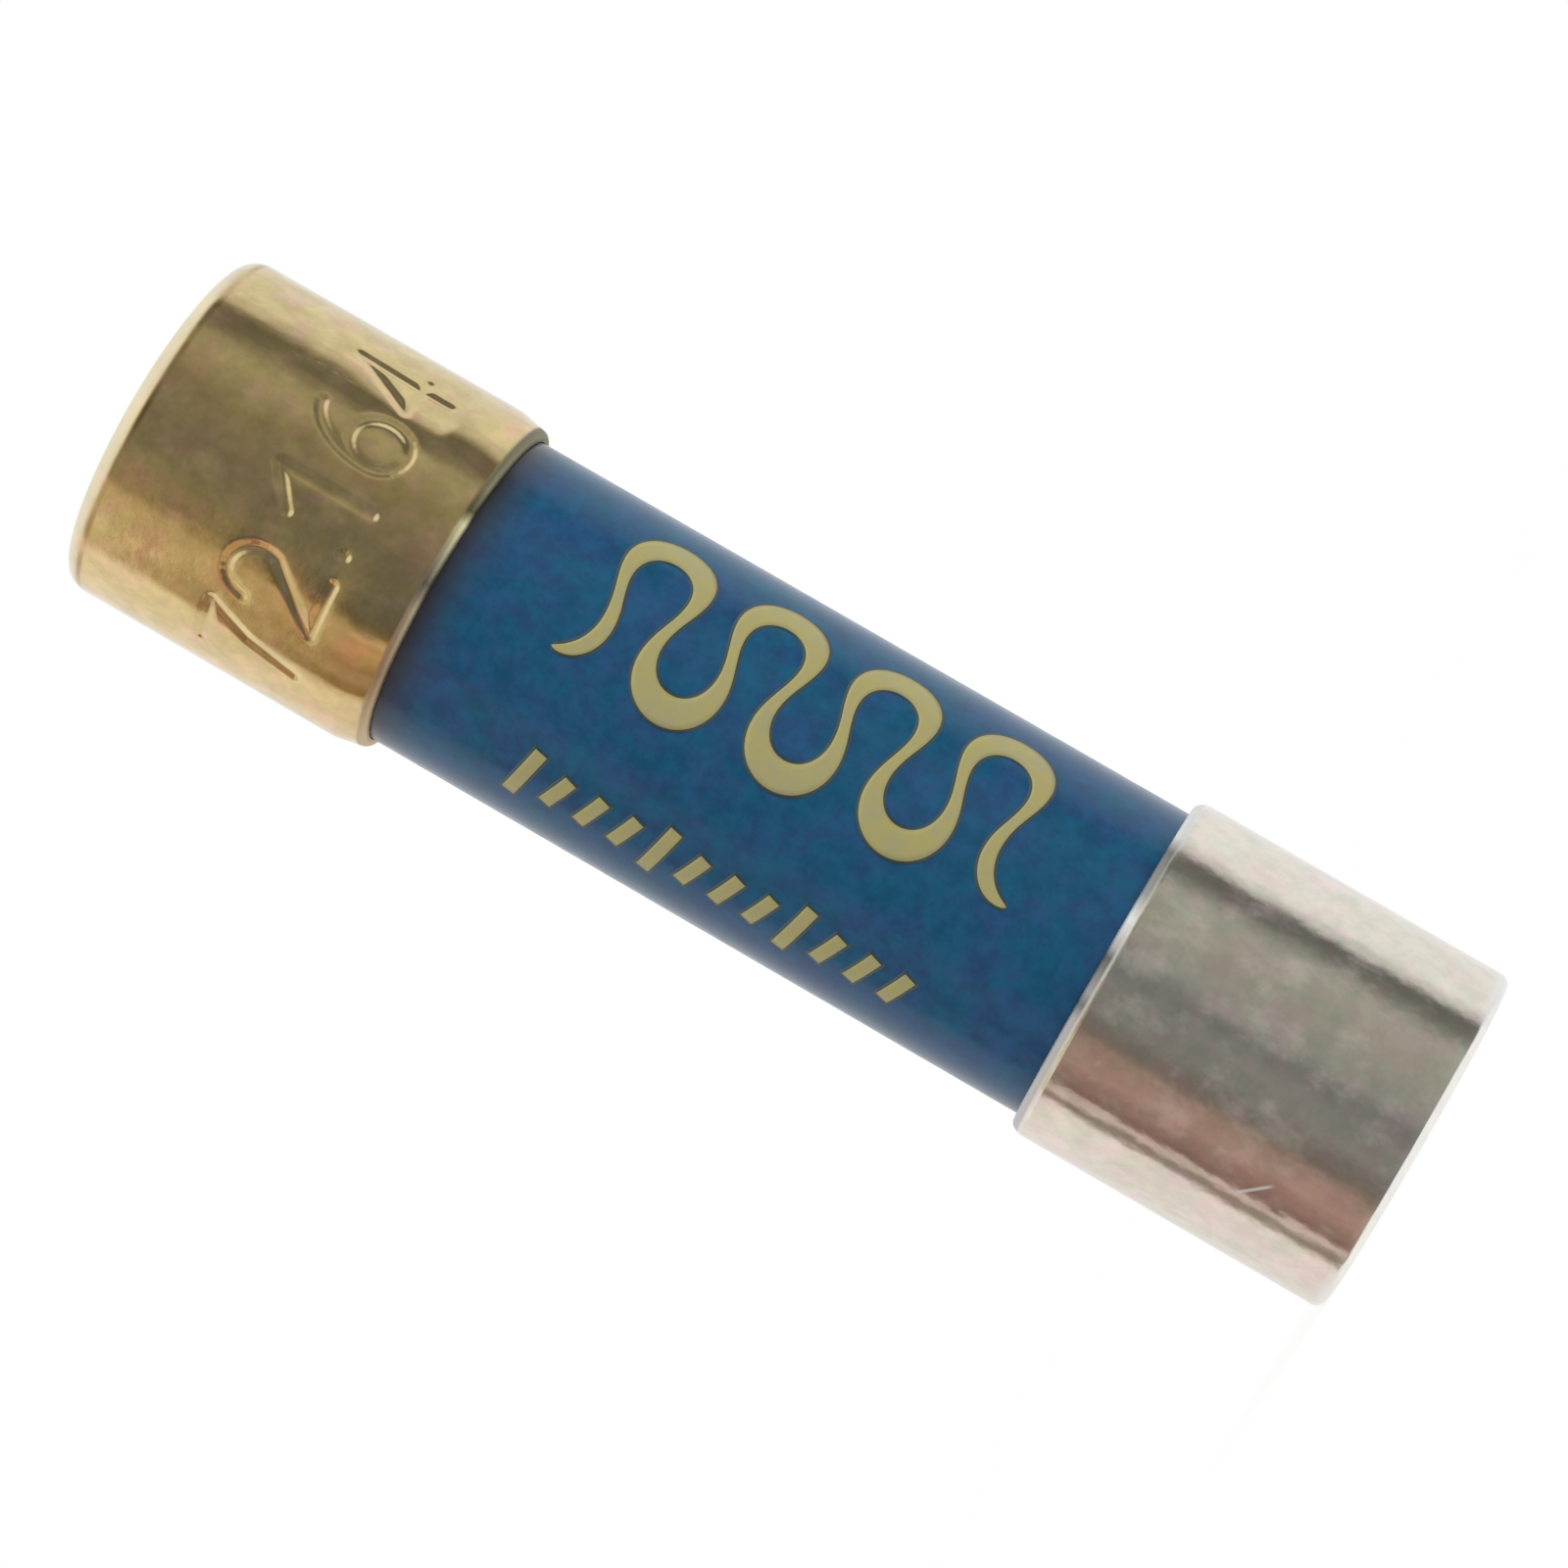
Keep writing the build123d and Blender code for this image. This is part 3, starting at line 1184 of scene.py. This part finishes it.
# %% The world
level_top = (0.07, 0.03)
level_bottom = (-0.09, -0.06)
upper_rise = (0.15, 0.178)
top_rise = (0.187, 0.2)
side_seam = (-0.02, 0.02)
overhead_rise = (0.42, 0.68)
underfoot_rise = (-0.42, -0.65)
overhead_white = (1.02, 1.02, 1.0, 1)
even_light = (0.72, 0.72, 0.72, 1)
white = (1, 1, 1, 1)

world = bpy.data.worlds.new("studio")
bpy.context.scene.world = world
world.use_nodes = True
world.cycles.sampling_method = "NONE"
tree = world.node_tree
tree.nodes.clear()

direction = Wire.make(tree, "ShaderNodeTexCoord", output="Generated")
x, y, z = (part_of(direction, letter) for letter in "XYZ")
round_room = x.size().math("ARCTAN2", -y) / math.pi


def room_of(stops):
    """The colours of one list, placed by their angles from 0 to 180 degrees."""
    return round_room.ramp([(degrees / 180, colour) for degrees, colour in stops])


is_level = z.smooth(*level_top) * z.smooth(*level_bottom)
plain_side = is_level.blend(room_of(plain_beyond), room_of(plain_level))
warm_side = is_level.blend(room_of(warm_beyond), room_of(warm_level))
warm_side = z.smooth(*upper_rise).blend(warm_side, room_of(warm_upper))
warm_side = z.smooth(*top_rise).blend(warm_side, room_of(warm_top))
room = x.smooth(*side_seam).blend(warm_side, plain_side)
above_or_below = z.smooth(*overhead_rise).math("MAXIMUM", z.smooth(*underfoot_rise))
room = above_or_below.blend(room, overhead_white)

camera_ray = Wire.make(tree, "ShaderNodeLightPath", output="Is Camera Ray")
glossy_ray = Wire.make(tree, "ShaderNodeLightPath", output="Is Glossy Ray")
clear_ray = Wire.make(tree, "ShaderNodeLightPath", output="Is Transmission Ray")
colour = glossy_ray.math("MAXIMUM", clear_ray).blend(even_light, room)
colour = camera_ray.blend(colour, white)
sky = Wire.make(tree, "ShaderNodeBackground", None, {"Color": colour, "Strength": 1.0})
output = tree.nodes.new("ShaderNodeOutputWorld")
tree.links.new(sky.socket, output.inputs["Surface"])
print("the world has", len(tree.nodes), "nodes")

# %% [markdown]
# ## The lamp
#
# Even light alone would leave the tube flat. One broad lamp in front, above and to the right,
# gives the light a side, so the tube turns from light to dark and the gold cap's mouth throws a
# soft shadow on it. It stays out of the reflections, so that they show only the room.

# %% One broad lamp
lamp_size = 60 * MM
lamp_distance = 90 * MM
lamp_strength = 0.35
lamp_from = Vector((0.55, -0.55, 0.75)).normalized()

lamp_data = bpy.data.lights.new("overhead_softbox", "AREA")
lamp_data.shape = "SQUARE"
lamp_data.size = lamp_size
lamp_data.energy = lamp_strength * math.pi**2 * lamp_distance**2
lamp = add_object("overhead_softbox", lamp_data)
lamp.location = Vector((0, 0, fuse_middle)) + lamp_from * lamp_distance
lamp.rotation_mode = "QUATERNION"
lamp.rotation_quaternion = (-lamp_from).to_track_quat("-Z", "Y")
lamp.visible_glossy = False
print(f"lamp energy {lamp_data.energy:.4f} W")

# %% [markdown]
# ## The camera
#
# The camera stands in front of the fuse at the height of the silver cap and looks up a little
# at the fuse's middle. So it sees the silver cap's mouth nearly edge on and the gold cap's mouth
# as a curve. A shift of the lens could frame it too, but a camera that is aimed keeps the fuse
# in the middle of every other view. It is rolled until the fuse lies across the picture with the
# gold cap at the upper left.

# %% Aim the camera
camera_distance = 81.69 * MM
camera_height = 3.19 * MM
target_aside = -0.056 * MM
target_below = 0.055 * MM
camera_roll = math.radians(-59.984)

camera_data = bpy.data.cameras.new("camera")
camera_data.sensor_width = 36.0
camera_data.lens = 136.64
camera_data.clip_start = 1 * MM
camera_data.clip_end = 10.0
camera = add_object("camera", camera_data)
bpy.context.scene.camera = camera

camera.location = (0, -camera_distance, silver_low.z + camera_height)
camera_target = Vector((target_aside, 0, fuse_middle - target_below))
level_aim = (camera_target - camera.location).to_track_quat("-Z", "Y")
camera.rotation_mode = "QUATERNION"
camera.rotation_quaternion = level_aim @ Quaternion((0, 0, 1), camera_roll)
print("camera stands at", [round(c / MM, 2) for c in camera.location], "mm")

# %% [markdown]
# ## Colour
#
# The view transform is Standard, so a colour shows as it was written.

# %% Finish
bpy.context.scene.view_settings.view_transform = "Standard"
